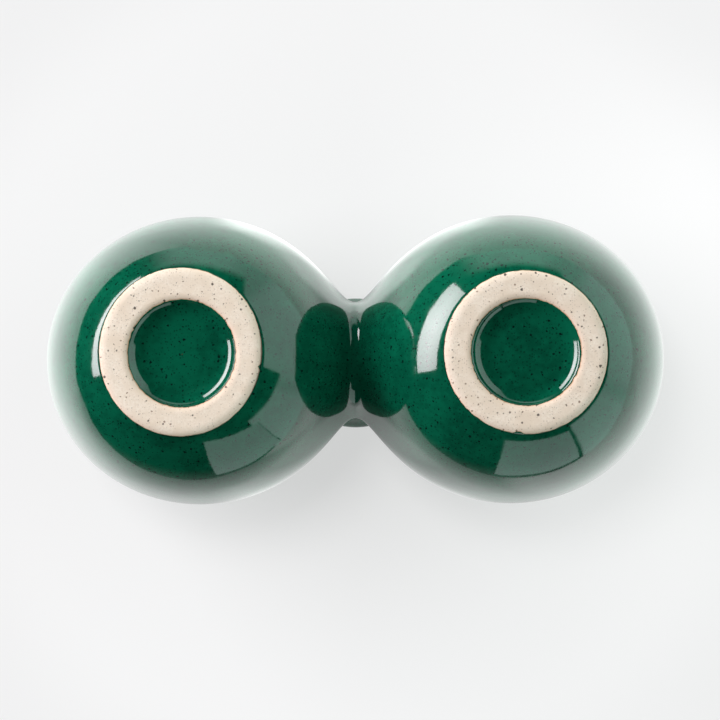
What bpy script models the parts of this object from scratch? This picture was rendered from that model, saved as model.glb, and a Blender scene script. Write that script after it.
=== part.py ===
"""Twin stoneware snack bowl, in metres with +Z up.

Two turned bowls stand side by side along X, each on a flat foot ring. A saddle-shaped neck joins their bellies,
and a small cup sits on the neck between the two mouths. The wet pieces are luted together and fired as one.
The feet stand on z = 0, and the origin lies halfway between the bowls.
"""

import math

import bpy

# Bowls
BOWL_LENGTH = 0.1042  # belly along the row
BOWL_WIDTH = 0.0988  # belly across the row
WAIST_GAP = 0.0016  # between the two bellies
BELLY_HEIGHT = 0.0500  # widest level
RIM_HEIGHT = 0.0750  # top of the lip
MOUTH_WIDTH = 0.0740  # clear opening across the row
WALL = 0.0050
BASE_HEIGHT = 0.0031  # flat underside
CURVE_BELOW = 0.0060  # how far below the feet the lower curve would close
LOWER_FULLNESS = 2.05  # 2 is a true ellipse, more is squarer
UPPER_FULLNESS = 2.1

# Foot rings
FOOT_DIAMETER = 0.0522
FOOT_WIDTH = 0.0101
FOOT_EDGE = 0.0015  # rounding of both lower edges
FOOT_FLARE = 0.0006  # the outer wall leans out towards the bowl

# Neck between the bellies
NECK_WIDTH = 0.0394
NECK_HEIGHT = 0.0360
NECK_RISE = 0.0020  # its middle above the widest level
NECK_GROOVE = 0.0080  # radius of the hollow that runs round it
NECK_FLARE = 0.0012  # how far the hollow climbs up the bowls

# Cup between the mouths
CUP_DIAMETER = 0.0468
CUP_HEIGHT = 0.0140
CUP_DROP = 0.0020  # its rim below the bowls' rims
CUP_WALL = 0.0040
CUP_FULLNESS = 3.0

# Luted joints
LUTE_GAP = 0.0003

# Facets
TURN_STEPS = 48
LOWER_POINTS = 11
UPPER_POINTS = 5
LIP_POINTS = 3  # in each quarter of a lip
CUP_POINTS = 9
EDGE_POINTS = 4
GROOVE_POINTS = 9

# Finish: colour, roughness
GREEN_GLAZE = ((0.004, 0.075, 0.043), 0.10)
BARE_CLAY = ((0.72, 0.61, 0.50), 0.85)

BOWL_SPACING = BOWL_LENGTH + WAIST_GAP
CUP_RIM = RIM_HEIGHT - CUP_DROP
SIDES = {"left": -1, "right": 1}


def clear_scene():
    for obj in list(bpy.data.objects):
        bpy.data.objects.remove(obj, do_unlink=True)


def new_collection(name):
    collection = bpy.data.collections.new(name)
    bpy.context.scene.collection.children.link(collection)
    return collection


def new_material(name, finish):
    colour, roughness = finish
    material = bpy.data.materials.new(name)
    material.use_nodes = True
    shader = material.node_tree.nodes["Principled BSDF"]
    shader.inputs["Base Color"].default_value = (*colour, 1.0)
    shader.inputs["Roughness"].default_value = roughness
    shader.inputs["Metallic"].default_value = 0.0
    return material


def superellipse(reach, drop, fullness, start, end, count):
    """Points (radius, depth) of a quarter superellipse between two angles, 0 at its widest."""
    points = []
    for i in range(count):
        angle = start + (end - start) * i / (count - 1)
        across = abs(math.cos(angle)) ** (2 / fullness)
        down = abs(math.sin(angle)) ** (2 / fullness)
        points.append((reach * across, drop * down))
    return points


def bowl_midline():
    """The middle of a bowl's wall, from the lip's centre down to the axis."""
    reach = (BOWL_WIDTH - WALL) / 2
    lip_radius = (MOUTH_WIDTH + WALL) / 2
    lip_height = RIM_HEIGHT - WALL / 2
    lip_angle = math.acos((lip_radius / reach) ** (UPPER_FULLNESS / 2))
    climb = (lip_height - BELLY_HEIGHT) / math.sin(lip_angle) ** (2 / UPPER_FULLNESS)
    upper = superellipse(reach, climb, UPPER_FULLNESS, lip_angle, 0, UPPER_POINTS)
    drop = BELLY_HEIGHT + CURVE_BELOW - WALL / 2
    floor = BELLY_HEIGHT - BASE_HEIGHT - WALL / 2
    floor_angle = math.asin((floor / drop) ** (LOWER_FULLNESS / 2))
    lower = superellipse(reach, drop, LOWER_FULLNESS, 0, floor_angle, LOWER_POINTS)
    lower += [(lower[-1][0] - WALL, floor), (0.0, floor)]
    line = [(r, BELLY_HEIGHT + rise) for r, rise in upper]
    return line + [(r, BELLY_HEIGHT - depth) for r, depth in lower[1:]]


def cup_midline():
    """The middle of the cup's wall, from the lip's centre down to the axis."""
    reach = (CUP_DIAMETER - CUP_WALL) / 2
    drop = CUP_HEIGHT - CUP_WALL
    curve = superellipse(reach, drop, CUP_FULLNESS, 0, math.pi / 2, CUP_POINTS)
    top = CUP_RIM - CUP_WALL / 2
    return [(r, top - depth) for r, depth in curve]


def line_angle(line, i):
    """Angle of a line's outward side at one point, 0 straight out and a quarter turn straight up."""
    before = line[max(i - 1, 0)]
    after = line[min(i + 1, len(line) - 1)]
    return math.atan2(after[0] - before[0], before[1] - after[1])


def offset_line(line, distance):
    """The line moved sideways, with its lower end kept on the axis."""
    moved = []
    for i, (r, z) in enumerate(line[:-1]):
        angle = line_angle(line, i)
        moved.append((r + distance * math.cos(angle), z + distance * math.sin(angle)))
    moved.append((0.0, line[-1][1] - distance))
    return moved


def lip_arc(line, radius):
    """Points over a round lip, from its inner side across the top to its outer side."""
    r, z = line[0]
    outward = line_angle(line, 0)
    bends = (outward + math.pi, math.pi / 2, outward)
    points = []
    for start, end in zip(bends, bends[1:]):
        for i in range(LIP_POINTS):
            angle = start + (end - start) * (i + 1) / LIP_POINTS
            points.append((r + radius * math.cos(angle), z + radius * math.sin(angle)))
    return points[:-1]


def shell_profile(line, wall):
    """Section of a turned shell: up its inside, over the lip and down its outside."""
    inside = offset_line(line, -wall / 2)[::-1]
    outside = offset_line(line, wall / 2)
    return inside + lip_arc(line, wall / 2) + outside


def form_profile(line, wall, top):
    """Section of the solid form that a shell fills, grown by the lute gap and open to the top."""
    outside = offset_line(line, wall / 2 + LUTE_GAP)
    return [(0.0, top), (outside[0][0], top)] + outside


def corner(radius_at, height_at, radius, start):
    """A quarter round at a ring's lower edge, turning clockwise from an angle."""
    points = []
    for i in range(EDGE_POINTS):
        angle = start - math.pi / 2 * i / (EDGE_POINTS - 1)
        points.append((radius_at + radius * math.cos(angle), height_at + radius * math.sin(angle)))
    return points


def foot_profile():
    """Closed section of a foot ring's stock, which the bowl's form then cuts to a seat."""
    outer = FOOT_DIAMETER / 2
    inner = outer - FOOT_WIDTH
    section = [(outer + FOOT_FLARE, BASE_HEIGHT)]
    section += corner(outer - FOOT_EDGE, FOOT_EDGE, FOOT_EDGE, 0)
    section += corner(inner + FOOT_EDGE, FOOT_EDGE, FOOT_EDGE, -math.pi / 2)
    section.append((inner, BASE_HEIGHT))
    return section


def neck_profile():
    """Section of the neck's stock about the line through both bowls: a disc with a hollow rim."""
    waist = NECK_WIDTH / 2
    shoulder = waist + NECK_FLARE
    stock = BOWL_SPACING / 2
    groove_end = math.acos(1 - NECK_FLARE / NECK_GROOVE)
    section = [(0.0, stock), (shoulder, stock)]
    for i in range(GROOVE_POINTS):
        angle = groove_end * (1 - 2 * i / (GROOVE_POINTS - 1))
        section.append((waist + NECK_GROOVE * (1 - math.cos(angle)), NECK_GROOVE * math.sin(angle)))
    return section + [(shoulder, -stock), (0.0, -stock)]


def turned(name, profile, collection, material=None, closed=False):
    """An object turned about its own Z axis from a section of (radius, height) points."""
    count = len(profile)
    edges = [(i, i + 1) for i in range(count - 1)]
    if closed:
        edges.append((count - 1, 0))
    mesh = bpy.data.meshes.new(name)
    mesh.from_pydata([(r, 0.0, z) for r, z in profile], edges, [])
    if material:
        mesh.materials.append(material)
    obj = bpy.data.objects.new(name, mesh)
    collection.objects.link(obj)
    screw = obj.modifiers.new("turning", "SCREW")
    screw.axis = "Z"
    screw.angle = 2 * math.pi
    screw.steps = TURN_STEPS
    screw.render_steps = TURN_STEPS
    screw.use_merge_vertices = True
    screw.merge_threshold = 1e-6
    screw.use_smooth_shade = True
    return obj


def hide_cutter(obj):
    obj.hide_render = True
    obj.display_type = "WIRE"


def cut(obj, cutter):
    boolean = obj.modifiers.new(f"seat_on_{cutter.name}", "BOOLEAN")
    boolean.operation = "DIFFERENCE"
    boolean.solver = "EXACT"
    boolean.object = cutter


def place_on_side(obj, side, oval):
    """Stands a turned piece under or in one bowl, pressed slightly longer along the row where it is oval."""
    obj.location.x = SIDES[side] * BOWL_SPACING / 2
    if oval:
        obj.scale.x = BOWL_LENGTH / BOWL_WIDTH


def make_bowl(side, parts, glaze):
    bowl = turned(f"{side}_bowl", shell_profile(bowl_midline(), WALL), parts, glaze)
    place_on_side(bowl, side, oval=True)
    return bowl


def make_bowl_form(side, cutters):
    """The outer form of one bowl, which its neighbours are cut to."""
    top = RIM_HEIGHT + WALL
    form = turned(f"{side}_bowl_form", form_profile(bowl_midline(), WALL, top), cutters)
    place_on_side(form, side, oval=True)
    hide_cutter(form)
    return form


def make_foot(side, parts, clay, form):
    foot = turned(f"{side}_foot_ring", foot_profile(), parts, clay, closed=True)
    place_on_side(foot, side, oval=False)
    cut(foot, form)
    return foot


def make_neck(parts, glaze, forms):
    neck = turned("joining_neck", neck_profile(), parts, glaze)
    neck.rotation_euler = (0.0, math.pi / 2, 0.0)
    neck.scale.x = NECK_HEIGHT / NECK_WIDTH
    neck.location.z = BELLY_HEIGHT + NECK_RISE
    for form in forms:
        cut(neck, form)
    return neck


def make_cup(parts, glaze, forms):
    cup = turned("centre_cup", shell_profile(cup_midline(), CUP_WALL), parts, glaze)
    for form in forms:
        cut(cup, form)
    return cup


def make_cup_form(cutters):
    top = RIM_HEIGHT + CUP_WALL
    form = turned("centre_cup_form", form_profile(cup_midline(), CUP_WALL, top), cutters)
    hide_cutter(form)
    return form


def main():
    clear_scene()
    parts = new_collection("twin_snack_bowl")
    cutters = new_collection("cutters")
    glaze = new_material("green_glaze", GREEN_GLAZE)
    clay = new_material("bare_clay", BARE_CLAY)
    root = bpy.data.objects.new("twin_snack_bowl_origin", None)
    parts.objects.link(root)

    forms = {side: make_bowl_form(side, cutters) for side in SIDES}
    cup_form = make_cup_form(cutters)
    pieces = []
    for side, form in forms.items():
        pieces.append(make_bowl(side, parts, glaze))
        pieces.append(make_foot(side, parts, clay, form))
    pieces.append(make_neck(parts, glaze, [cup_form, *forms.values()]))
    pieces.append(make_cup(parts, glaze, forms.values()))
    for piece in pieces:
        piece.parent = root


main()
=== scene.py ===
"""Looks of the twin snack bowl: glossy green glaze, bare clay foot rings, a blended waist and cup.

The object stands upright on its feet. The camera looks up at its underside, as the photograph does.
Metres, +Z up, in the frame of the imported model.
"""

import math

import bpy
import numpy as np
from mathutils import Matrix, Vector


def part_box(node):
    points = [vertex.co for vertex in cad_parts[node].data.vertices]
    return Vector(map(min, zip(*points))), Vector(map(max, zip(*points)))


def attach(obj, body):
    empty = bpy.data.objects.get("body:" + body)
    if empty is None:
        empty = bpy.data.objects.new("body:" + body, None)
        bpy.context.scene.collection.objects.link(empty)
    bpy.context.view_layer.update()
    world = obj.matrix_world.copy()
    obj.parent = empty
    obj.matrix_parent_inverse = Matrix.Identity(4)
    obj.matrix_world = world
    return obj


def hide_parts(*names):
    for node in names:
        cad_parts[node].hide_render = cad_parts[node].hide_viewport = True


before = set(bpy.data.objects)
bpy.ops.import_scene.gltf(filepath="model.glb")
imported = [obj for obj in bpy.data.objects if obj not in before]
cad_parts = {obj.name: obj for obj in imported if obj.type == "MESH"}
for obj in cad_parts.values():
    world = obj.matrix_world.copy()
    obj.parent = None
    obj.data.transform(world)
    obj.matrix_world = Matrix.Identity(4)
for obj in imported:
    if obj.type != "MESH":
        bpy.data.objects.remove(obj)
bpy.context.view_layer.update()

# Sizes that the frame gives
bowl_low, bowl_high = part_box("right_bowl")
cup_low, cup_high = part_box("centre_cup")
AXIS = (bowl_low.x + bowl_high.x) / 2  # of a bowl, from the middle of the object
REACH = (bowl_high.y - bowl_low.y) / 2  # outer radius of the belly across the row
OVAL = (bowl_high.x - bowl_low.x) / (2 * REACH)  # belly along the row, in parts of across
RIM = bowl_high.z
BASE = bowl_low.z
CUP_REACH = (cup_high.y - cup_low.y) / 2
CUP_RIM = cup_high.z

# Bowls
BELLY = 0.0500  # height of the widest level
WALL = 0.0050
MOUTH = 0.0370  # inner radius of the lip
UPPER_FULLNESS = 2.1  # 2 is a true ellipse, more is squarer
LOWER_FULLNESS = 2.05
CURVE_BELOW = 0.0060  # how far below the feet the lower curve would close
FLOOR_END = 0.0215  # radius where the flat floor inside ends
FLOOR_CORNER = 0.0262  # radius that the bend from the floor to the wall is pulled towards
WALL_START = 0.0125  # height where the bend meets the wall
WORN_LIP = (0.0016, 0.0002)  # below the rim: where the glaze begins to thin, and where it is thinnest
TURN_STEPS = 288
DIRECTIONS = np.arange(TURN_STEPS) * 2 * math.pi / TURN_STEPS
FLOOR_ROWS = 8
BEND_ROWS = 10
INSIDE_ROWS = 40
LIP_ROWS = 13
OUTSIDE_ROWS = 52
INNERMOST = 0.06  # radius of a floor's first row, in parts of the floor's

# Feet
FOOT = 0.02535  # outer radius
FOOT_INNER = 0.01562
LEFT_WIDER = 0.00035  # the left foot is a little wider than the right one,
LEFT_OVAL = -0.00045  # longer across the row than along it,
LEFT_OFF = (-0.0004, -0.0005)  # and off its axis, along and across the row
OUTER_ROUND = (0.0030, 0.0012)  # rounding of the lower edges: how wide, how tall
INNER_ROUND = (0.0030, 0.0020)
FOOT_FLAT = 0.0006  # the bowl levels off over this much, next to the foot
FLAT_LIFT = 0.00012
FLAT_ROWS = (0.75, 0.5, 0.25, 0.06, 0.0)  # in parts of FOOT_FLAT
FOOT_BLEND = 0.0340  # from here inwards the oval rows of the bowl turn into the outline of the foot
RECESS = 0.0031  # height of the glazed floor inside the ring
RECESS_TILT = math.radians(48)  # where the inner rounding turns into a hollow
RECESS_ROWS = (12, 7)  # in the hollow, and over the floor
CLAY_SEAT = 1.1  # height of the bowl's hidden face over the clay, in parts of the clay's

# The glaze's edge on the clay
GLAZE = 0.00010  # its thickness
# Its bead, row by row: angle from the edge along the rounding, and thickness in parts of GLAZE.
# The last rows dip under the clay.
BEAD = ((0.22, 1.0), (0.14, 1.0), (0.08, 0.95), (0.04, 0.75), (0.012, 0.40), (0.0, -0.20), (0.08, -3.0))
BEAD_ROOM = 0.03  # left between the bead and the end of the rounding
BEAD_ROWS = 6  # from the end of the rounding to the bead

# Bare clay
CLAY_OUTER = 0.02518  # radius of its outer edge
# Seeds of each ring's edges, radius and oval of its inner edge, and a drop of glaze that runs onto it
# (direction in degrees, depth, half width)
LEFT_CLAY = ((1, 3), 0.01664, 0.0, (10, 0.0007, 0.0006))
RIGHT_CLAY = ((2, 4), 0.01672, 0.00020, (96, 0.0007, 0.0014))
EDGE_WANDER = (0.00005, 0.00004)  # of the outer and the inner edge
EDGE_WAVES = range(3, 90)  # round the ring
EDGE_PEAK = 30  # the highest wave
EDGE_SPREAD = 15
EDGE_DAMP = 3  # divides the sum of the waves
OUTER_SINES = (0.1, 0.995)  # least and most sine of an edge's angle along its rounding
INNER_SINES = (0.1, 0.97)
CLAY_UNDER = 0.12  # how far the clay goes on under the glaze, as an angle
CLAY_ROWS = (16, 9, 14)  # over the outer rounding, the flat and the inner rounding
CLAY_EDGE_REACH = (0.0018, 0.0032)  # how far the clay's tints reach from its outer and inner edge: the peach, partly painted shade, and the brown line

# Waist and cup
WAIST_BLEND = 0.00677
CUP_BLEND = 0.0014
CUP_WALL = 0.0040
CUP_ROUND = CUP_WALL / 5  # softness of its rim
CUP_DEPTH = 0.0140
CUP_FULLNESS = 3.0
CAVITY_BLEND = 0.0008
WORN_CUP = (0.0012, 0.0001)  # below the cup's rim, as for the bowls
SKIN_DEPTH = 0.0026  # how deep the blended skin reaches into the bowls' walls
SKIN_SINK = 0.00004  # keeps it under the bowls' glaze where nothing blends
SKIN_CELL = 0.0009
SKIN_HALF = (0.0270, 0.0440)
SKIN_BOTTOM = 0.0060
SKIN_RELAX = (0.0, 0.5, 0.5, 0.0)  # how far each round moves a point towards its neighbours
SKIN_SETTLE = 3  # steps back to the surface in each round
LEAST_SLOPE = 0.05
SLOPE_STEP = 0.0002
TINY = 1e-6

# Camera, as fitted to the photograph
CAMERA_PLACE = (0.0042, 0.0207, -0.3828)
CAMERA_TURN = (math.radians(-2.75), math.radians(0.34), math.radians(-0.24))
LENS = 62.5  # mm
SENSOR = 36.0

BACKGROUND = 0.880


def smoothstep(low, high, value):
    t = np.clip((value - low) / (high - low), 0, 1)
    return t * t * (3 - 2 * t)


def smooth_min(a, b, blend):
    return -blend * np.logaddexp(-a / blend, -b / blend)


def smooth_max(a, b, blend):
    return -smooth_min(-a, -b, blend)


# Meshes

def new_object(name, points, faces, material):
    mesh = bpy.data.meshes.new(name)
    mesh.from_pydata(points.tolist(), [], faces)
    mesh.update()
    mesh.materials.append(material)
    mesh.shade_smooth()
    obj = bpy.data.objects.new(name, mesh)
    bpy.context.scene.collection.objects.link(obj)
    return obj


def set_attribute(obj, name, values):
    attribute = obj.data.attributes.new(name, "FLOAT", "POINT")
    attribute.data.foreach_set("value", np.asarray(values, np.float32))


def strip_faces(rows, columns, closed):
    """Quads of a sheet of rows that runs round and, where it is closed, back to its first row."""
    faces = []
    for i in range(rows if closed else rows - 1):
        here = i * columns
        there = (i + 1) % rows * columns
        for j in range(columns):
            k = (j + 1) % columns
            faces.append((here + j, there + j, there + k, here + k))
    return faces


def turned(name, radius, height, stretch, centre_x, material, poles):
    """A turned piece from its rows' radii and heights, with a point at each end where it has poles."""
    rows, columns = radius.shape
    x = centre_x + radius * stretch * np.cos(DIRECTIONS)
    y = radius * np.sin(DIRECTIONS)
    points = np.stack([x, y, height], 2).reshape(-1, 3)
    faces = strip_faces(rows, columns, closed=not poles)
    if poles:
        first = len(points)
        ends = [(centre_x, 0, height[0].mean()), (centre_x, 0, height[-1].mean())]
        points = np.vstack([points, ends])
        last_row = (rows - 1) * columns
        for j in range(columns):
            k = (j + 1) % columns
            faces.append((first, j, k))
            faces.append((first + 1, last_row + k, last_row + j))
    return new_object(name, points, faces, material)


# Bowls

LIP_RADIUS = MOUTH + WALL / 2
LIP_HEIGHT = RIM - WALL / 2


def lip_angle():
    return math.acos((LIP_RADIUS / (REACH - WALL / 2)) ** (UPPER_FULLNESS / 2))


# How far the middle of the wall would rise above the widest level, if the bowl closed over its mouth
CLIMB = (LIP_HEIGHT - BELLY) / math.sin(lip_angle()) ** (2 / UPPER_FULLNESS)


def wall_point(inset, angle):
    """A point of the wall's section, inset from its outer face, at an angle above the widest level."""
    if angle > 0:
        rise, fullness = CLIMB + WALL / 2, UPPER_FULLNESS
    else:
        rise, fullness = BELLY + CURVE_BELOW, LOWER_FULLNESS
    r = (REACH - inset) * math.cos(angle) ** (2 / fullness)
    z = (rise - inset) * abs(math.sin(angle)) ** (2 / fullness)
    return r, BELLY + math.copysign(z, angle)


def wall_angle(inset, height):
    """The angle of the wall at a height below the widest level."""
    drop = (BELLY - height) / (BELLY + CURVE_BELOW - inset)
    return -math.asin(drop ** (LOWER_FULLNESS / 2))


def foot_angle():
    """The angle of the outer face where it levels off at the foot."""
    return -math.acos(((FOOT + FOOT_FLAT) / REACH) ** (LOWER_FULLNESS / 2))


def bezier(start, start_pull, end_pull, end, count):
    """Points between the ends of a curve."""
    points = []
    for i in range(1, count):
        t = i / count
        s = 1 - t
        weights = (s ** 3, 3 * s * s * t, 3 * s * t * t, t ** 3)
        corners = (start, start_pull, end_pull, end)
        points.append(tuple(sum(w * c[k] for w, c in zip(weights, corners)) for k in (0, 1)))
    return points


def bowl_section():
    """From the middle of the inside, over the lip and down the outside to where it levels off."""
    top = lip_angle()
    floor = BASE + WALL
    inside = [wall_point(WALL, a) for a in np.linspace(wall_angle(WALL, WALL_START), top, INSIDE_ROWS)]
    corner = (FLOOR_CORNER, floor)
    bend = bezier((FLOOR_END, floor), corner, corner, inside[0], BEND_ROWS)
    inside = [(FLOOR_END * t, floor) for t in np.linspace(INNERMOST, 1, FLOOR_ROWS)] + bend + inside
    outside = [wall_point(0, a) for a in np.linspace(top, foot_angle(), OUTSIDE_ROWS)]
    lip_out = math.atan2(outside[0][1] - LIP_HEIGHT, outside[0][0] - LIP_RADIUS)
    lip_in = math.atan2(inside[-1][1] - LIP_HEIGHT, inside[-1][0] - LIP_RADIUS) % (2 * math.pi)
    lip = []
    for a in np.linspace(lip_in, lip_out, LIP_ROWS)[1:-1]:
        lip.append((LIP_RADIUS + WALL / 2 * math.cos(a), LIP_HEIGHT + WALL / 2 * math.sin(a)))
    return inside + lip + outside


def bowl_height(across):
    """Height of the outer face below the widest level, at a distance from the axis across the row."""
    drop = (1 - (across / REACH) ** LOWER_FULLNESS) ** (1 / LOWER_FULLNESS)
    return BELLY - (BELLY + CURVE_BELOW) * drop


# Feet

def ragged(seed, amplitude):
    """A wandering edge: waves of many lengths round a ring, highest near one of them."""
    draw = np.random.default_rng(seed)
    edge = np.zeros(TURN_STEPS)
    for order in EDGE_WAVES:
        height = amplitude / (1 + abs(order - EDGE_PEAK) / EDGE_SPREAD)
        edge += height * draw.normal() * np.cos(order * DIRECTIONS + draw.uniform(0, 2 * math.pi))
    return edge / EDGE_DAMP


def drop_of_glaze(at, depth, half_width):
    turn = (DIRECTIONS - math.radians(at) + math.pi) % (2 * math.pi) - math.pi
    return depth * np.exp(-(np.abs(turn) * FOOT / half_width) ** 4)


def foot_shift(side):
    """How far the foot's wall lies outside the plain circle, for each direction."""
    if side > 0:
        return np.zeros(TURN_STEPS)
    off_x, off_y = LEFT_OFF
    oval = LEFT_WIDER + LEFT_OVAL * np.cos(2 * DIRECTIONS)
    return oval + off_x * np.cos(DIRECTIONS) + off_y * np.sin(DIRECTIONS)


def roundings(side):
    """Radii where the foot's outer and inner roundings begin, for each direction."""
    return (FOOT + foot_shift(side) - GLAZE - OUTER_ROUND[0],
            FOOT_INNER + GLAZE + INNER_ROUND[0] + np.zeros(TURN_STEPS))


def clay_edges(side):
    """Where the bare clay ends on the foot's outer and inner rounding, as angles along each rounding."""
    (outer_seed, inner_seed), inner_radius, inner_oval, drop = LEFT_CLAY if side < 0 else RIGHT_CLAY
    outer = CLAY_OUTER + foot_shift(side) + ragged(outer_seed, EDGE_WANDER[0])
    outer -= drop_of_glaze(*drop)
    inner = inner_radius + inner_oval * np.cos(2 * DIRECTIONS) + ragged(inner_seed, EDGE_WANDER[1])
    out_mid, in_mid = roundings(side)
    return (np.arcsin(np.clip((outer - out_mid) / OUTER_ROUND[0], *OUTER_SINES)),
            np.arcsin(np.clip((in_mid - inner) / INNER_ROUND[0], *INNER_SINES)))


def glaze_edge(middle, rounding, sign, edge, end):
    """Rows (radius, height) of the glaze round a lower edge, from its rounding's end to under the clay."""
    wide, tall = rounding
    first_turn = BEAD[0][0]
    room = np.minimum((end - edge) / (first_turn + BEAD_ROOM), 1)
    rows = []
    for t in np.linspace(0, 1, BEAD_ROWS)[:-1]:
        rows.append((end + (edge + first_turn * room - end) * t, GLAZE))
    rows += [(edge + turn * room, GLAZE * thick) for turn, thick in BEAD]
    return [(middle + sign * (wide + t) * np.sin(a), tall - (tall + t) * np.cos(a)) for a, t in rows]


def recess_start():
    """The angle along the inner rounding at which it turns into a hollow."""
    wide, tall = INNER_ROUND
    return math.atan(math.tan(RECESS_TILT) * wide / tall)


def recess_section(middle):
    """From the end of the inner rounding through a hollow to the middle of the glazed floor."""
    wide, tall = INNER_ROUND
    hollow_rows, floor_rows = RECESS_ROWS
    start_r = middle - (wide + GLAZE) * math.sin(recess_start())
    start_z = tall - (tall + GLAZE) * math.cos(recess_start())
    hollow = (RECESS - start_z) / (1 - math.cos(RECESS_TILT))
    end_r = start_r - hollow * math.sin(RECESS_TILT)
    section = []
    for tilt in np.linspace(RECESS_TILT, 0, hollow_rows)[1:]:
        section.append((end_r + hollow * math.sin(tilt), RECESS - hollow * (1 - math.cos(tilt))))
    return section + [(end_r * t, RECESS) for t in np.linspace(1, INNERMOST, floor_rows)[1:]]


def lower_row(side, r, lift=0.0):
    """A row (radius, height, stretch) of the outside near the foot: it stays on the bowl's own curve."""
    near = 1 - smoothstep(FOOT, FOOT_BLEND, r)
    stretch = OVAL + (1 - OVAL) * near
    radius = r + foot_shift(side) * near
    across = radius * np.hypot(stretch * np.cos(DIRECTIONS) / OVAL, np.sin(DIRECTIONS))
    return radius, bowl_height(across) + lift, stretch


def body_rows(side):
    """Rows of a bowl, from the middle of its inside to the top of the foot's wall."""
    flat = np.ones(TURN_STEPS)
    section = bowl_section()
    lip = int(np.argmax([z for r, z in section]))
    rows = []
    for i, (r, z) in enumerate(section):
        near_foot = i > lip and z < BELLY and r < FOOT_BLEND
        rows.append(lower_row(side, r) if near_foot else (r * flat, z * flat, OVAL))
    for t in FLAT_ROWS:
        rows.append(lower_row(side, FOOT + FOOT_FLAT * t, FLAT_LIFT * (1 - t) ** 2))
    corner_radius, corner_height, _ = rows[-1]
    rows.append((corner_radius, corner_height - GLAZE / 2, 1.0))
    return rows


def make_bowl(name, side, material):
    """A bowl with its foot: its glaze overlaps the clay at both edges, and a hidden face lies over it."""
    outer_edge, inner_edge = clay_edges(side)
    out_mid, in_mid = roundings(side)
    flat = np.ones(TURN_STEPS)
    hidden = INNER_ROUND[1] * CLAY_SEAT
    foot = glaze_edge(out_mid, OUTER_ROUND, 1, outer_edge, math.pi / 2)
    foot.append((out_mid - OUTER_ROUND[0], hidden * flat))
    foot.append((in_mid, hidden * flat))
    foot += glaze_edge(in_mid, INNER_ROUND, -1, inner_edge, recess_start())[::-1]
    foot += [(r * flat, z * flat) for r, z in recess_section(in_mid[0])]
    rows = body_rows(side) + [(r, z, 1.0) for r, z in foot]
    radius = np.array([r for r, z, stretch in rows])
    height = np.maximum([z for r, z, stretch in rows], 0)
    stretch = np.array([[stretch] for r, z, stretch in rows])
    bowl = turned(name, radius, height, stretch, side * AXIS, material, poles=True)
    thin = smoothstep(RIM - WORN_LIP[0], RIM - WORN_LIP[1], height)
    set_attribute(bowl, "thin", np.append(thin.ravel(), [0, 0]))
    return bowl


def make_clay(name, side, material):
    """A ring of bare clay: a flat that rounds off softly on both sides and goes under the glaze."""
    outer_edge, inner_edge = clay_edges(side)
    out_mid, in_mid = roundings(side)
    out_wide, out_tall = OUTER_ROUND
    in_wide, in_tall = INNER_ROUND
    out_rows, flat_rows, in_rows = CLAY_ROWS
    flat = np.ones(TURN_STEPS)
    rows = []
    for t in np.linspace(1, 0, out_rows):
        angle = (outer_edge + CLAY_UNDER) * t
        rows.append((out_mid + out_wide * np.sin(angle), out_tall * (1 - np.cos(angle))))
    for t in np.linspace(0, 1, flat_rows)[1:-1]:
        rows.append((out_mid + (in_mid - out_mid) * t, 0 * flat))
    for t in np.linspace(0, 1, in_rows):
        angle = (inner_edge + CLAY_UNDER) * t
        rows.append((in_mid - in_wide * np.sin(angle), in_tall * (1 - np.cos(angle))))
    rows.append((in_mid, in_tall * flat))
    rows.append((out_mid - out_wide, in_tall * flat))
    radius = np.array([r for r, z in rows])
    height = np.array([z for r, z in rows])
    ring = turned(name, radius, height, np.ones((len(rows), 1)), side * AXIS, material, poles=False)
    outer = out_mid + out_wide * np.sin(outer_edge)
    inner = in_mid - in_wide * np.sin(inner_edge)
    out_reach, in_reach = CLAY_EDGE_REACH
    gap = np.minimum((outer - radius) / out_reach, (radius - inner) / in_reach)
    set_attribute(ring, "edge", np.clip(1 - gap, 0, 1).ravel())
    return ring


# Waist and cup: one skin of glaze over the neck and the cup, blended into both bowls

def form_distance(across, along, reach, rise, fullness):
    """Distance to a turned superellipse, close to its surface."""
    q = across / reach
    s = np.abs(along) / rise
    size = np.maximum((q ** fullness + s ** fullness) ** (1 / fullness), TINY)
    slope = np.hypot((q / size) ** (fullness - 1) / reach, (s / size) ** (fullness - 1) / rise)
    return (size - 1) / slope


def bowl_distance(p, side):
    across = np.hypot((p[..., 0] - side * AXIS) / OVAL, p[..., 1])
    along = p[..., 2] - BELLY
    rise = np.where(along > 0, CLIMB + WALL / 2, BELLY + CURVE_BELOW)
    fullness = np.where(along > 0, UPPER_FULLNESS, LOWER_FULLNESS)
    return form_distance(across, along, REACH, rise, fullness)


def cup_distance(p, inset):
    """Distance to the cup's outer form, or to its hollow where it is inset by the wall."""
    r = np.hypot(p[..., 0], p[..., 1])
    top = CUP_RIM - CUP_WALL / 2
    below = np.minimum(p[..., 2] - top, 0)
    reach = CUP_REACH - inset
    depth = CUP_DEPTH - CUP_WALL / 2 - inset
    return form_distance(r, below, reach, depth, CUP_FULLNESS)


def skin_distance(p):
    """Distances to the blended form, and to the left and the right bowl."""
    left = bowl_distance(p, -1)
    right = bowl_distance(p, 1)
    waist = smooth_min(left, right, WAIST_BLEND)
    cup = smooth_max(cup_distance(p, 0), p[..., 2] - CUP_RIM, CUP_ROUND)
    hollow = smooth_max(cup_distance(p, CUP_WALL), -np.minimum(left, right), CAVITY_BLEND)
    solid = smooth_min(waist, cup, CUP_BLEND)
    return smooth_max(solid, -hollow, CUP_ROUND), left, right


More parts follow.
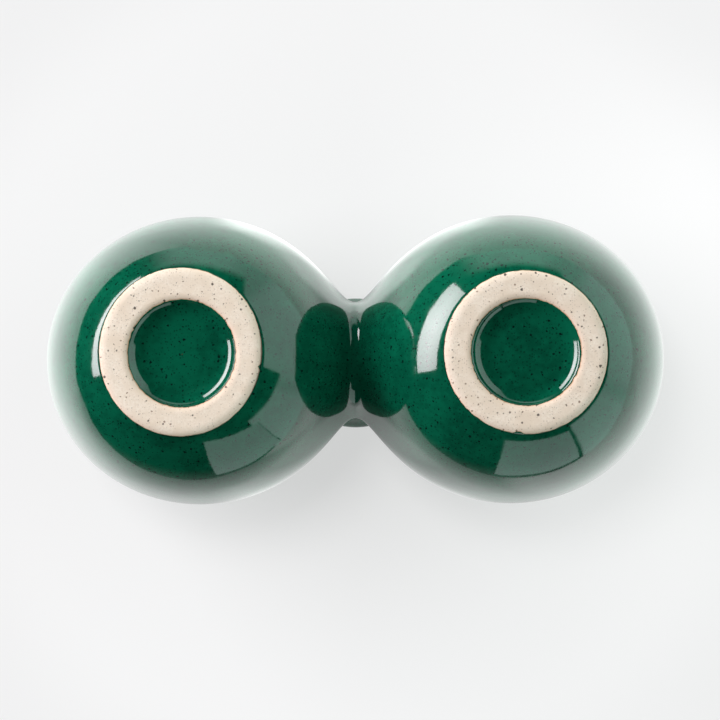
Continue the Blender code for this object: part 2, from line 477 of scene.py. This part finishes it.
def skin_field(p):
    """Below zero in the skin: the blended form, less what lies deep in the bowls or far from the waist."""
    form, left, right = skin_distance(p)
    inner = np.maximum(-left, -right) - SKIN_DEPTH
    ends = np.abs(p[..., 0]) - SKIN_HALF[0] + SKIN_CELL
    sides = np.abs(p[..., 1]) - SKIN_HALF[1] + SKIN_CELL
    below = SKIN_BOTTOM + SKIN_CELL - p[..., 2]
    above = p[..., 2] - CUP_RIM - SKIN_CELL / 2
    return np.maximum.reduce([form + SKIN_SINK, inner, ends, sides, below, above])


def gradient(field, p):
    parts = []
    for axis in range(3):
        move = np.zeros(3)
        move[axis] = SLOPE_STEP
        parts.append((field(p + move) - field(p - move)) / (2 * SLOPE_STEP))
    return np.stack(parts, -1)


def skin_grid():
    half_x, half_y = SKIN_HALF
    spans = ((-half_x, half_x), (-half_y, half_y), (SKIN_BOTTOM, RIM + 3 * SKIN_CELL))
    axes = [np.linspace(a, b, int(math.ceil((b - a) / SKIN_CELL)) + 1) for a, b in spans]
    return np.stack(np.meshgrid(*axes, indexing="ij"), -1)


def cell_corners(values):
    """The values at each of the eight corners, for every cell of the grid."""
    n = [s - 1 for s in values.shape]
    return [values[i:i + n[0], j:j + n[1], k:k + n[2]] for i in (0, 1) for j in (0, 1) for k in (0, 1)]


def net_faces(inside, index):
    """One quad for each grid edge that crosses the surface, between the four cells round it."""
    faces = []
    for axis in range(3):
        moved = np.moveaxis(inside, axis, 0)
        cells = np.moveaxis(index, axis, 0)
        goes_out = moved[:-1][:, 1:-1, 1:-1]
        cross = (moved[:-1] != moved[1:])[:, 1:-1, 1:-1]
        i, j, k = np.nonzero(cross)
        quad = np.stack([cells[i, j, k], cells[i, j + 1, k], cells[i, j + 1, k + 1], cells[i, j, k + 1]], 1)
        flip = goes_out[i, j, k] ^ (axis == 1)
        quad[~flip] = quad[~flip][:, ::-1]
        faces.append(quad)
    return np.vstack(faces)


def relaxed(points, faces, share):
    """Points moved a share of the way to the middle of their neighbours."""
    total = np.zeros_like(points)
    count = np.zeros(len(points))
    for a, b in ((0, 1), (1, 2), (2, 3), (3, 0)):
        for u, v in ((a, b), (b, a)):
            np.add.at(total, faces[:, u], points[faces[:, v]])
            np.add.at(count, faces[:, u], 1)
    return points + share * (total / count[:, None] - points)


def settled(points):
    """Points moved onto the skin's surface."""
    for _ in range(SKIN_SETTLE):
        slope = gradient(skin_field, points)
        length = np.maximum((slope ** 2).sum(-1), LEAST_SLOPE)
        move = -skin_field(points)[:, None] * slope / length[:, None]
        points = points + np.clip(move, -SKIN_CELL / 2, SKIN_CELL / 2)
    return points


def make_skin(name, material):
    """The skin as a net of quads through the grid's cells that the surface crosses."""
    grid = skin_grid()
    inside = skin_field(grid) < 0
    corners = np.sum(cell_corners(inside), axis=0)
    active = (corners > 0) & (corners < 8)
    index = np.full(active.shape, -1)
    index[active] = np.arange(active.sum())
    faces = net_faces(inside, index)
    points = (grid[:-1, :-1, :-1] + grid[1:, 1:, 1:])[active] / 2
    for share in SKIN_RELAX:
        if share:
            points = relaxed(points, faces, share)
        points = settled(points)
    skin = new_object(name, points, faces.tolist(), material)
    normals = gradient(lambda p: skin_distance(p)[0], points)
    normals /= np.maximum(np.linalg.norm(normals, axis=1), TINY)[:, None]
    skin.data.normals_split_custom_set_from_vertices(normals.tolist())
    thin = smoothstep(CUP_RIM - WORN_CUP[0], CUP_RIM - WORN_CUP[1], points[:, 2])
    set_attribute(skin, "thin", thin)
    return skin


# Nodes

def add_node(tree, kind, **settings):
    node = tree.nodes.new(kind)
    for key, value in settings.items():
        setattr(node, key, value)
    return node


def feed(tree, socket, value):
    """Links a socket to another one, or sets it to a number or colour."""
    if isinstance(value, bpy.types.NodeSocket):
        tree.links.new(value, socket)
    elif isinstance(value, (tuple, list)) and len(value) == 3 and socket.type == "RGBA":
        socket.default_value = (*value, 1.0)
    else:
        socket.default_value = value


def calc(tree, operation, a, b=0.0):
    node = add_node(tree, "ShaderNodeMath", operation=operation)
    feed(tree, node.inputs[0], a)
    feed(tree, node.inputs[1], b)
    return node.outputs[0]


def ramp(tree, value, low, high, to_low=0.0, to_high=1.0):
    """A value that runs smoothly from one level to another."""
    node = add_node(tree, "ShaderNodeMapRange", interpolation_type="SMOOTHSTEP")
    for i, v in enumerate((value, low, high, to_low, to_high)):
        feed(tree, node.inputs[i], v)
    return node.outputs[0]


def stops(tree, value, points):
    """A value that runs straight between given points (from, to)."""
    low, high = points[0][0], points[-1][0]
    scale = max(to for _, to in points)
    span = add_node(tree, "ShaderNodeMapRange")
    for i, v in enumerate((value, low, high, 0.0, 1.0)):
        feed(tree, span.inputs[i], v)
    node = add_node(tree, "ShaderNodeValToRGB")
    while len(node.color_ramp.elements) < len(points):
        node.color_ramp.elements.new(1.0)
    for element, (start, to) in zip(node.color_ramp.elements, points):
        element.position = (start - low) / (high - low)
        element.color = (to / scale, to / scale, to / scale, 1.0)
    feed(tree, node.inputs[0], span.outputs[0])
    return calc(tree, "MULTIPLY", node.outputs[0], scale)


def mix(tree, share, a, b):
    node = add_node(tree, "ShaderNodeMix", data_type="RGBA")
    feed(tree, node.inputs[0], share)
    feed(tree, node.inputs[6], a)
    feed(tree, node.inputs[7], b)
    return node.outputs[2]


def noise(tree, place, scale, detail):
    node = add_node(tree, "ShaderNodeTexNoise")
    feed(tree, node.inputs["Vector"], place)
    node.inputs["Scale"].default_value = scale
    node.inputs["Detail"].default_value = detail
    node.inputs["Roughness"].default_value = NOISE_ROUGHNESS
    return node.outputs[0]


def warped(tree, place, size):
    """Places pushed about by a noise, so that specks come out uneven."""
    node = add_node(tree, "ShaderNodeTexNoise")
    feed(tree, node.inputs["Vector"], place)
    node.inputs["Scale"].default_value = WARP_SCALE
    push = add_node(tree, "ShaderNodeVectorMath", operation="MULTIPLY_ADD")
    feed(tree, push.inputs[0], node.outputs["Color"])
    push.inputs[1].default_value = (size, size, size)
    feed(tree, push.inputs[2], place)
    return push.outputs[0]


def specks(tree, place, cells, least, most, share, dimensions):
    """Round specks: one in some cells of a given number to the metre, with radii in parts of a cell."""
    node = add_node(tree, "ShaderNodeTexVoronoi", voronoi_dimensions=dimensions)
    feed(tree, node.inputs["Vector"], place)
    node.inputs["Scale"].default_value = cells
    split = add_node(tree, "ShaderNodeSeparateColor")
    tree.links.new(node.outputs["Color"], split.inputs[0])
    size = ramp(tree, split.outputs[0], 1 - share, 1.0, least, most)
    there = calc(tree, "GREATER_THAN", split.outputs[0], 1 - share)
    size = calc(tree, "MULTIPLY", size, there)
    edge = calc(tree, "SUBTRACT", size, node.outputs["Distance"])
    return ramp(tree, edge, 0.0, SPECK_SOFT), split.outputs[1]


def bump(tree, height, distance, strength, under=None):
    node = add_node(tree, "ShaderNodeBump")
    node.inputs["Strength"].default_value = strength
    node.inputs["Distance"].default_value = distance
    tree.links.new(height, node.inputs["Height"])
    if under is not None:
        tree.links.new(under, node.inputs["Normal"])
    return node.outputs[0]


def new_material(name):
    material = bpy.data.materials.new(name)
    material.use_nodes = True
    tree = material.node_tree
    return material, tree, tree.nodes["Principled BSDF"]


def attribute(tree, name):
    node = add_node(tree, "ShaderNodeAttribute", attribute_name=name)
    return node.outputs["Fac"]


# Materials. Noises are given by scale to the metre and detail, ramps by from and to, bumps by height
# and strength, and specks by cells to the metre, least and most radius in parts of a cell, and the
# share of the cells that have one.

NOISE_ROUGHNESS = 0.55
WARP_SCALE = 1400.0
SPECK_SOFT = 0.05  # edge of a speck, in parts of a cell

GLAZE_GREEN = (0.0012, 0.083, 0.0425)
GLAZE_DEEP = (0.0006, 0.050, 0.0260)
GLAZE_SPECK = (0.0006, 0.007, 0.005)
GLAZE_RUST = (0.045, 0.022, 0.010)
GLAZE_THIN = (0.030, 0.085, 0.040)
GLAZE_CLOUD = (45.0, 2.0)
GLAZE_MOTTLE = (420.0, 4.0)
CLOUD_SHARE = 0.6  # of the colour's depth, next to the mottle
MOTTLE_SHARE = 0.4
GLAZE_DEPTH = (0.36, 0.62)
GLAZE_WARP = 0.0008
# Specks with their strength and colour: the first kind is even, the others are warped
GLAZE_SPECKS = (((1100.0, 0.18, 0.36, 0.80), 0.55, GLAZE_SPECK),
                ((560.0, 0.10, 0.26, 0.80), 0.90, GLAZE_SPECK),
                ((190.0, 0.06, 0.12, 0.60), 0.90, GLAZE_SPECK),
                ((115.0, 0.03, 0.06, 0.30), 0.80, GLAZE_RUST))
GLAZE_WORN = (0.3, 0.6, 0.35, 0.8)
GLAZE_ROUGHNESS = (0.3, 0.7, 0.045, 0.085)
GLAZE_IOR = 1.5
GLAZE_WAVE = (130.0, 1.0)
GLAZE_WAVE_BUMP = (0.0004, 0.10)
GLAZE_PEEL = (1100.0, 2.0)
GLAZE_PEEL_BUMP = (0.00004, 0.12)


def glaze_material():
    material, tree, shader = new_material("green_glaze_coat")
    place = add_node(tree, "ShaderNodeTexCoord").outputs["Object"]
    cloud = noise(tree, place, *GLAZE_CLOUD)
    mottle = noise(tree, place, *GLAZE_MOTTLE)
    cloud_part = calc(tree, "MULTIPLY", cloud, CLOUD_SHARE)
    mottle_part = calc(tree, "MULTIPLY", mottle, MOTTLE_SHARE)
    depth = calc(tree, "ADD", cloud_part, mottle_part)
    colour = mix(tree, ramp(tree, depth, *GLAZE_DEPTH), GLAZE_DEEP, GLAZE_GREEN)
    speck_place = place
    uneven = warped(tree, place, GLAZE_WARP)
    for form, strength, tint in GLAZE_SPECKS:
        there, _ = specks(tree, speck_place, *form, "3D")
        colour = mix(tree, calc(tree, "MULTIPLY", there, strength), colour, tint)
        speck_place = uneven
    worn = calc(tree, "MULTIPLY", attribute(tree, "thin"), ramp(tree, mottle, *GLAZE_WORN))
    colour = mix(tree, worn, colour, GLAZE_THIN)
    tree.links.new(colour, shader.inputs["Base Color"])
    tree.links.new(ramp(tree, mottle, *GLAZE_ROUGHNESS), shader.inputs["Roughness"])
    shader.inputs["IOR"].default_value = GLAZE_IOR
    wave = bump(tree, noise(tree, place, *GLAZE_WAVE), *GLAZE_WAVE_BUMP)
    peel = bump(tree, noise(tree, place, *GLAZE_PEEL), *GLAZE_PEEL_BUMP, wave)
    tree.links.new(peel, shader.inputs["Normal"])
    return material


CLAY = (0.79, 0.695, 0.59)
CLAY_DARK = (0.715, 0.60, 0.485)
CLAY_SPECK = (0.15, 0.08, 0.045)
CLAY_DOT = (0.040, 0.027, 0.020)
# peach flash of the clay near the glaze, darkened further as painted shade on the edge roundings
CLAY_PEACH_AND_SHADE = (0.71, 0.56, 0.44)
CLAY_EDGE = (0.46, 0.25, 0.12)
CLAY_CLOUD = (160.0, 4.0)
CLAY_CLOUDY = (0.35, 0.68)
CLAY_GRAIN = (1500.0, 3.0)
CLAY_GRAINY = (0.36, 0.66, 0.0, 0.80)
CLAY_PATCHY = (0.25, 0.6, 0.30, 0.85)
PEACH_AND_SHADE_FALL = 2.0  # the peach tint and its painted edge shade fall with this power of the closeness to the edge
EDGE_BAND = (0.86, 1.0)
CLAY_WARP = 0.0006
CLAY_DUST = (1500.0, 0.14, 0.30, 0.25)
CLAY_SMALL = (520.0, 0.09, 0.18, 0.25)
CLAY_LARGE = (210.0, 0.055, 0.115, 0.45)
DUST_STRENGTH = 0.36
SMALL_STRENGTH = 0.78
LARGE_STRENGTH = 0.90
SMALL_TONE = (0.4, 0.9)
CLAY_ROUGHNESS = (0.3, 0.7, 0.72, 0.92)
CLAY_LUMPS = (420.0, 3.0)
CLAY_LUMPS_BUMP = (0.00015, 0.30)
CLAY_GRAIN_BUMP = (0.00010, 0.45)


def clay_material():
    material, tree, shader = new_material("speckled_bare_clay")
    place = add_node(tree, "ShaderNodeTexCoord").outputs["Object"]
    cloud = noise(tree, place, *CLAY_CLOUD)
    grain = noise(tree, place, *CLAY_GRAIN)
    colour = mix(tree, ramp(tree, cloud, *CLAY_CLOUDY), CLAY, CLAY_DARK)
    colour = mix(tree, ramp(tree, grain, *CLAY_GRAINY), colour, CLAY_DARK)
    edge = attribute(tree, "edge")
    patchy = ramp(tree, cloud, *CLAY_PATCHY)
    # Peach towards both edges: the clay's own flash there, plus painted shade where the edges round off
    colour = mix(tree, calc(tree, "POWER", edge, PEACH_AND_SHADE_FALL), colour, CLAY_PEACH_AND_SHADE)
    colour = mix(tree, calc(tree, "MULTIPLY", ramp(tree, edge, *EDGE_BAND), patchy), colour, CLAY_EDGE)
    uneven = warped(tree, place, CLAY_WARP)
    dust, _ = specks(tree, place, *CLAY_DUST, "2D")
    small, tone = specks(tree, uneven, *CLAY_SMALL, "2D")
    large, _ = specks(tree, uneven, *CLAY_LARGE, "2D")
    small_tint = mix(tree, ramp(tree, tone, *SMALL_TONE), CLAY_SPECK, CLAY_DOT)
    colour = mix(tree, calc(tree, "MULTIPLY", dust, DUST_STRENGTH), colour, CLAY_SPECK)
    colour = mix(tree, calc(tree, "MULTIPLY", small, SMALL_STRENGTH), colour, small_tint)
    colour = mix(tree, calc(tree, "MULTIPLY", large, LARGE_STRENGTH), colour, CLAY_DOT)
    tree.links.new(colour, shader.inputs["Base Color"])
    tree.links.new(ramp(tree, grain, *CLAY_ROUGHNESS), shader.inputs["Roughness"])
    lumps = bump(tree, noise(tree, place, *CLAY_LUMPS), *CLAY_LUMPS_BUMP)
    rough = bump(tree, grain, *CLAY_GRAIN_BUMP, lumps)
    tree.links.new(rough, shader.inputs["Normal"])
    return material


# Stage: a pale table just above the rims, seen from below, and a pale floor under the feet, seen from
# above. The camera sees them plain. The glaze mirrors the table with a brightness of its own.

TABLE_GAP = 0.0007
TABLE = ((-0.45, 0.160), (-0.48, 0.060), (-0.60, -0.03), (-0.60, -0.14), (-0.50, -0.21), (-0.40, -0.29),
         (-0.26, -0.345), (-0.20, -0.37), (-0.10, -0.37), (-0.07, -0.60), (0.75, -0.60), (0.75, 0.180),
         (-0.02, 0.178), (-0.08, 0.166))
HOLE = (0.0470, 0.0445)  # over each mouth: half its length and half its width
CUP_HOLE = 0.0200
FLOOR = ((-1.2, -1.2), (1.2, -1.2), (1.2, 1.2), (-1.2, 1.2))
UNSEEN_BY = ("visible_shadow", "visible_transmission", "visible_volume_scatter")
WHITE = (1, 1, 1)

# As the camera sees them
TABLE_DIFFUSE = 0.28
TABLE_SEEN = (0.195, 0.250)  # the camera sees the table this far from the middle, then it fades
VIEW_HALF = 0.135  # of the table, to each side
SIDE_GAIN = 0.94  # evens out the table's light: so much more for each metre to the right
SIDE_LESS = (0.05, 0.13, SIDE_GAIN, SIDE_GAIN * 0.45)  # which falls towards the front and the back
FRONT_GAIN = 0.28  # and so much more towards the front
CORNER_FALL = 0.048  # and so much less in the corners of the view
CORNER_WIDTH = 0.05
FLOOR_DIFFUSE = 0.16  # the bright table lights the floor, which needs less brightness of its own
FLOOR_OWN = 0.50
FLOOR_SEEN = (0.25, 0.90)

# Brightness of the table in reflections, by distance from the nearest bowl's axis, with painted shadow close
# to the bowls, then shares by x and y
TABLE_NEAR = ((0.055, 0.75), (0.062, 1.05), (0.072, 1.55), (0.085, 1.90), (0.100, 2.10), (0.125, 2.17),
              (0.160, 2.12), (0.250, 1.85), (0.400, 1.60))
TABLE_LEFT = ((-0.32, 1.42), (-0.19, 1.37), (-0.14, 1.20), (-0.11, 1.0))
TABLE_FRONT = ((0.050, 1.0), (0.080, 0.88), (0.110, 0.66), (0.130, 0.56), (0.170, 0.42))
FRONT_RIGHT = (0.0, 0.08, 0.0, 0.90)  # to the right the front keeps at least this share
# Between the bowls it has a brightness of its own, by y, and leans by x: painted shadow, darkest under the
# waist
TABLE_WAIST = ((-0.110, 2.20), (-0.085, 2.30), (-0.073, 2.20), (-0.062, 1.95), (-0.050, 1.85),
               (-0.040, 1.70), (-0.030, 0.70), (0.0, 0.30), (0.030, 0.35), (0.044, 0.72), (0.058, 1.02),
               (0.075, 1.30), (0.110, 1.65))
WAIST_LEAN = ((-0.035, 1.45), (-0.015, 1.28), (0.0, 1.0), (0.015, 1.12), (0.035, 1.20))
WAIST_ALONG = (0.030, 0.056, 1.0, 0.0)  # where that ends, by distance along and across the row
WAIST_ACROSS = (0.080, 0.110, 1.0, 0.0)
TWICE_MIRRORED = 0.15  # share of the stage's light that is left where one bowl mirrors it in the other
MIRROR_COUNT = (1.2, 1.8)  # between one mirroring and two


def stage_plane(name, outline, height, faces_up):
    points = np.array([(x, y, height) for x, y in outline])
    face = tuple(range(len(outline)))
    material, tree, _ = new_material(name)
    tree.nodes.clear()
    plane = new_object(name, points, [face], material)
    if (plane.data.polygons[0].normal.z > 0) != faces_up:
        plane.data.flip_normals()
    for kind in UNSEEN_BY:
        setattr(plane, kind, False)
    return plane, tree


def emission(tree, colour, strength):
    node = add_node(tree, "ShaderNodeEmission")
    feed(tree, node.inputs["Color"], colour)
    feed(tree, node.inputs["Strength"], strength)
    return node.outputs[0]


def mix_shader(tree, share, a, b):
    node = add_node(tree, "ShaderNodeMixShader")
    feed(tree, node.inputs[0], share)
    tree.links.new(a, node.inputs[1])
    tree.links.new(b, node.inputs[2])
    return node.outputs[0]


def add_shader(tree, a, b):
    node = add_node(tree, "ShaderNodeAddShader")
    tree.links.new(a, node.inputs[0])
    tree.links.new(b, node.inputs[1])
    return node.outputs[0]


def pale_surface(tree, grey, bright):
    """A pale sheet that shows soft shadows: a grey, and a brightness of its own."""
    diffuse = add_node(tree, "ShaderNodeBsdfDiffuse")
    feed(tree, diffuse.inputs["Color"], (grey, grey, grey))
    return add_shader(tree, diffuse.outputs[0], emission(tree, WHITE, bright))


def close_material(tree, surface, hidden):
    clear = add_node(tree, "ShaderNodeBsdfTransparent").outputs[0]
    output = add_node(tree, "ShaderNodeOutputMaterial")
    tree.links.new(mix_shader(tree, hidden, surface, clear), output.inputs["Surface"])


def place_of(tree):
    """The x and y of a stage plane's points, and whether its back is seen."""
    geometry = add_node(tree, "ShaderNodeNewGeometry")
    place = add_node(tree, "ShaderNodeSeparateXYZ")
    tree.links.new(geometry.outputs["Position"], place.inputs[0])
    return place.outputs[0], place.outputs[1], geometry.outputs["Backfacing"]


def reach_of(tree, x, y):
    return calc(tree, "SQRT", calc(tree, "ADD", calc(tree, "MULTIPLY", x, x), calc(tree, "MULTIPLY", y, y)))


def camera_ray(tree):
    return add_node(tree, "ShaderNodeLightPath").outputs["Is Camera Ray"]


def once_mirrored(tree):
    """A share that falls where light meets the glaze more than once on its way."""
    depth = add_node(tree, "ShaderNodeLightPath").outputs["Glossy Depth"]
    return ramp(tree, depth, *MIRROR_COUNT, 1.0, TWICE_MIRRORED)


def table_holes(tree, x, y, apart):
    """Holes in the table over the mouths and the cup, which let light in."""
    mouth = reach_of(tree, calc(tree, "DIVIDE", apart, HOLE[0]), calc(tree, "DIVIDE", y, HOLE[1]))
    over_bowl = calc(tree, "LESS_THAN", mouth, 1.0)
    over_cup = calc(tree, "LESS_THAN", reach_of(tree, x, y), CUP_HOLE)
    return calc(tree, "MAXIMUM", over_bowl, over_cup)


def table_mirrored(tree, x, y, apart):
    """The table as the glaze mirrors it, with painted shadow close to the bowls and between them."""
    bright = stops(tree, reach_of(tree, apart, y), TABLE_NEAR)
    bright = calc(tree, "MULTIPLY", bright, stops(tree, x, TABLE_LEFT))
    front = calc(tree, "MAXIMUM", stops(tree, y, TABLE_FRONT), ramp(tree, x, *FRONT_RIGHT))
    bright = calc(tree, "MULTIPLY", bright, front)
    waist = calc(tree, "MULTIPLY", stops(tree, y, TABLE_WAIST), stops(tree, x, WAIST_LEAN))
    along = ramp(tree, calc(tree, "ABSOLUTE", x), *WAIST_ALONG)
    across = ramp(tree, calc(tree, "ABSOLUTE", y), *WAIST_ACROSS)
    between = calc(tree, "MULTIPLY", along, across)
    change = calc(tree, "MULTIPLY", between, calc(tree, "SUBTRACT", waist, bright))
    bright = calc(tree, "ADD", bright, change)
    return emission(tree, WHITE, calc(tree, "MULTIPLY", bright, once_mirrored(tree)))


def table_plain(tree, x, y):
    """The table as the camera sees it, evened out."""
    right = calc(tree, "MINIMUM", calc(tree, "MAXIMUM", x, 0.0), VIEW_HALF)
    right = calc(tree, "MULTIPLY", right, ramp(tree, calc(tree, "ABSOLUTE", y), *SIDE_LESS))
    front = calc(tree, "MINIMUM", calc(tree, "MAXIMUM", y, 0.0), VIEW_HALF)
    front = calc(tree, "MULTIPLY", front, FRONT_GAIN)
    plain = BACKGROUND - TABLE_DIFFUSE
    own = ramp(tree, reach_of(tree, x, y), VIEW_HALF, VIEW_HALF + CORNER_WIDTH, plain, plain - CORNER_FALL)
    own = calc(tree, "ADD", own, calc(tree, "ADD", right, front))
    return pale_surface(tree, TABLE_DIFFUSE, own)


def make_table():
    _, tree = stage_plane("table", TABLE, RIM + TABLE_GAP, faces_up=False)
    x, y, behind = place_of(tree)
    apart = calc(tree, "SUBTRACT", calc(tree, "ABSOLUTE", x), AXIS)
    seen = camera_ray(tree)
    surface = mix_shader(tree, seen, table_mirrored(tree, x, y, apart), table_plain(tree, x, y))
    far = calc(tree, "MULTIPLY", seen, ramp(tree, reach_of(tree, x, y), *TABLE_SEEN))
    gone = calc(tree, "MAXIMUM", table_holes(tree, x, y, apart), far)
    close_material(tree, surface, calc(tree, "MAXIMUM", behind, gone))


def make_floor():
    floor, tree = stage_plane("floor", FLOOR, 0.0, faces_up=True)
    floor.visible_glossy = False
    floor.visible_diffuse = False
    x, y, behind = place_of(tree)
    far = ramp(tree, reach_of(tree, x, y), *FLOOR_SEEN)
    close_material(tree, pale_surface(tree, FLOOR_DIFFUSE, FLOOR_OWN), calc(tree, "MAXIMUM", behind, far))


PANEL_ACROSS = (-0.005, 0.455)
PANEL_Y = 0.58
PANEL_HEIGHTS = (-0.165, 0.220)
PANEL_FRAME = 0.008  # dark edge on its right
PANEL_RADIANCE = 1.7
WALL_TINT = (0.82, 1.02, 0.97)  # the pale walls and the front panel are slightly aqua


def make_panel():
    """An upright panel of light before the object, which only reflections and bounced light meet."""
    left, right = PANEL_ACROSS
    low, high = PANEL_HEIGHTS
    corners = ((left, low), (right, low), (right, high), (left, high))
    points = np.array([(x, PANEL_Y, z) for x, z in corners])
    material, tree, _ = new_material("front_panel")
    tree.nodes.clear()
    panel = new_object("front_panel", points, [(0, 1, 2, 3)], material)
    panel.visible_camera = False
    panel.visible_shadow = False
    x, _, _ = place_of(tree)
    lit = calc(tree, "MULTIPLY", calc(tree, "LESS_THAN", x, right - PANEL_FRAME), PANEL_RADIANCE)
    lit = calc(tree, "MULTIPLY", lit, once_mirrored(tree))
    close_material(tree, emission(tree, WALL_TINT, lit), 0.0)


# Light

WATTS_PER_RADIANCE = math.pi  # of an area lamp, for each square metre
# The key stands on the left, low, so that it lights the underside
KEY_START = (-2.221, 0.41)
KEY_END = (-1.345, -2.014)
KEY_HEIGHTS = (-1.13, -0.37)
KEY_RADIANCE = 14.5
KEY_TINT = (1.0, 0.955, 0.985)
KEY_ALONG = ((0.0, 0.78), (0.25, 1.02), (0.5, 1.20), (0.75, 1.02), (1.0, 0.78))  # brighter in its middle
KEY_ACROSS = ((0.0, 0.90), (0.5, 1.06), (1.0, 0.90))
FILL_PLACE = (-0.28, -0.36, -0.95)
FILL_SIZE = (0.36, 0.36)
FILL_RADIANCE = 11.0
OVERHEAD_PLACE = (-0.25, -0.35, 0.80)
OVERHEAD_SIZE = (0.42, 0.42)
OVERHEAD_RADIANCE = 4.0
SKY = (0.20, 0.50, 0.01, 0.45)  # by how far a direction points up: from nearly dark to this radiance
# Pale walls round the right side: brightness by direction in degrees, and how low they reach
WALL_LIGHT = ((-124, 0.0), (-116, 0.15), (-104, 1.60), (-90, 1.95), (-75, 1.85), (-66, 1.40),
              (-54, 1.50), (-46, 2.20), (-30, 2.40), (0, 2.30), (12, 2.05), (19, 1.60), (26, 2.10),
              (42, 2.20), (53, 2.10), (54, 0.0))
WALL_LOW = ((-62, 0.26), (-52, 0.62), (8, 0.62), (12, 0.36), (54, 0.35))
WALL_SOFT = ((-62, 0.16), (-52, 0.05))
WALL_TOP = 0.30
WALL_TOP_SOFT = 0.05


def lamp_object(name, data, matrix):
    lamp = bpy.data.objects.new(name, data)
    bpy.context.scene.collection.objects.link(lamp)
    lamp.matrix_world = matrix
    lamp.visible_camera = False
    return lamp


def area_data(name, size, radiance):
    data = bpy.data.lights.new(name, "AREA")
    data.shape = "RECTANGLE"
    data.size, data.size_y = size
    data.energy = radiance * size[0] * size[1] * WATTS_PER_RADIANCE
    return data


def area_lamp(name, place, target, size, radiance):
    turn = (Vector(target) - Vector(place)).to_track_quat("-Z", "Y").to_matrix()
    return lamp_object(name, area_data(name, size, radiance), Matrix.Translation(place) @ turn.to_4x4())


def wall_lamp(name, start, end, heights, radiance):
    """An upright softbox between two points of the plan, which shines to its left as seen from the start."""
    low, high = heights
    start = Vector((*start, (low + high) / 2))
    end = Vector((*end, (low + high) / 2))
    along = (end - start).normalized()
    up = Vector((0, 0, 1))
    turn = Matrix((along, up, along.cross(up))).transposed()
    data = area_data(name, ((end - start).length, high - low), radiance)
    return lamp_object(name, data, Matrix.Translation((start + end) / 2) @ turn.to_4x4())


def soften(lamp, along, across):
    """Lets a softbox fall off from its middle, by shares along and across it."""
    lamp.data.use_nodes = True
    tree = lamp.data.node_tree
    sheet = add_node(tree, "ShaderNodeSeparateXYZ")
    tree.links.new(add_node(tree, "ShaderNodeNewGeometry").outputs["Parametric"], sheet.inputs[0])
    along_share = stops(tree, sheet.outputs[0], along)
    across_share = stops(tree, sheet.outputs[1], across)
    share = calc(tree, "MULTIPLY", along_share, across_share)
    tree.links.new(share, tree.nodes["Emission"].inputs["Strength"])


def background(tree, colour, strength):
    node = add_node(tree, "ShaderNodeBackground")
    feed(tree, node.inputs["Color"], colour)
    feed(tree, node.inputs["Strength"], strength)
    return node.outputs[0]


def make_world():
    """Pale walls and a dim sky that the object meets, and a plain background for the camera."""
    world = bpy.data.worlds.new("studio")
    bpy.context.scene.world = world
    world.use_nodes = True
    tree = world.node_tree
    tree.nodes.clear()
    way = add_node(tree, "ShaderNodeSeparateXYZ")
    tree.links.new(add_node(tree, "ShaderNodeTexCoord").outputs["Generated"], way.inputs[0])
    x, y, z = way.outputs
    turn = calc(tree, "DEGREES", calc(tree, "ARCTAN2", y, x))
    wall = stops(tree, turn, WALL_LIGHT)
    over = calc(tree, "ADD", z, stops(tree, turn, WALL_LOW))
    wall = calc(tree, "MULTIPLY", wall, ramp(tree, over, 0.0, stops(tree, turn, WALL_SOFT)))
    wall = calc(tree, "MULTIPLY", wall, ramp(tree, z, WALL_TOP, WALL_TOP + WALL_TOP_SOFT, 1.0, 0.0))
    wall = calc(tree, "MULTIPLY", wall, once_mirrored(tree))
    walls = background(tree, WALL_TINT, wall)
    sky = background(tree, WHITE, ramp(tree, z, *SKY))
    plain = background(tree, WHITE, BACKGROUND)
    seen = mix_shader(tree, camera_ray(tree), add_shader(tree, walls, sky), plain)
    output = add_node(tree, "ShaderNodeOutputWorld")
    tree.links.new(seen, output.inputs["Surface"])


def make_lights():
    middle = (0.0, 0.0, RIM / 2)
    key = wall_lamp("key_softbox", KEY_START, KEY_END, KEY_HEIGHTS, KEY_RADIANCE)
    key.data.color = KEY_TINT
    soften(key, KEY_ALONG, KEY_ACROSS)
    fill = area_lamp("fill_softbox", FILL_PLACE, middle, FILL_SIZE, FILL_RADIANCE)
    fill.visible_glossy = False
    area_lamp("overhead_softbox", OVERHEAD_PLACE, middle, OVERHEAD_SIZE, OVERHEAD_RADIANCE)
    make_world()


def make_camera():
    rx, ry, rz = CAMERA_TURN
    turn = Matrix.Rotation(rz, 3, "Z") @ Matrix.Rotation(ry, 3, "Y") @ Matrix.Rotation(rx, 3, "X")
    axes = Matrix((turn[0], -turn[1], -turn[2])).transposed()
    data = bpy.data.cameras.new("camera")
    data.lens = LENS
    data.sensor_width = SENSOR
    camera = bpy.data.objects.new("camera", data)
    bpy.context.scene.collection.objects.link(camera)
    camera.matrix_world = Matrix.Translation(CAMERA_PLACE) @ axes.to_4x4()
    bpy.context.scene.camera = camera


def declare(piece, slot, *nodes):
    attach(piece, "root")
    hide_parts(*nodes)


glaze = glaze_material()
clay = clay_material()
for side_name, side in (("left", -1), ("right", 1)):
    declare(make_bowl(f"{side_name}_bowl_glazed", side, glaze), "green_glaze", f"{side_name}_bowl")
    declare(make_clay(f"{side_name}_foot_clay", side, clay), "bare_clay", f"{side_name}_foot_ring")
declare(make_skin("waist_and_cup_glazed", glaze), "green_glaze", "joining_neck", "centre_cup")
make_table()
make_floor()
make_panel()
make_lights()
make_camera()
bpy.context.scene.view_settings.view_transform = "Standard"
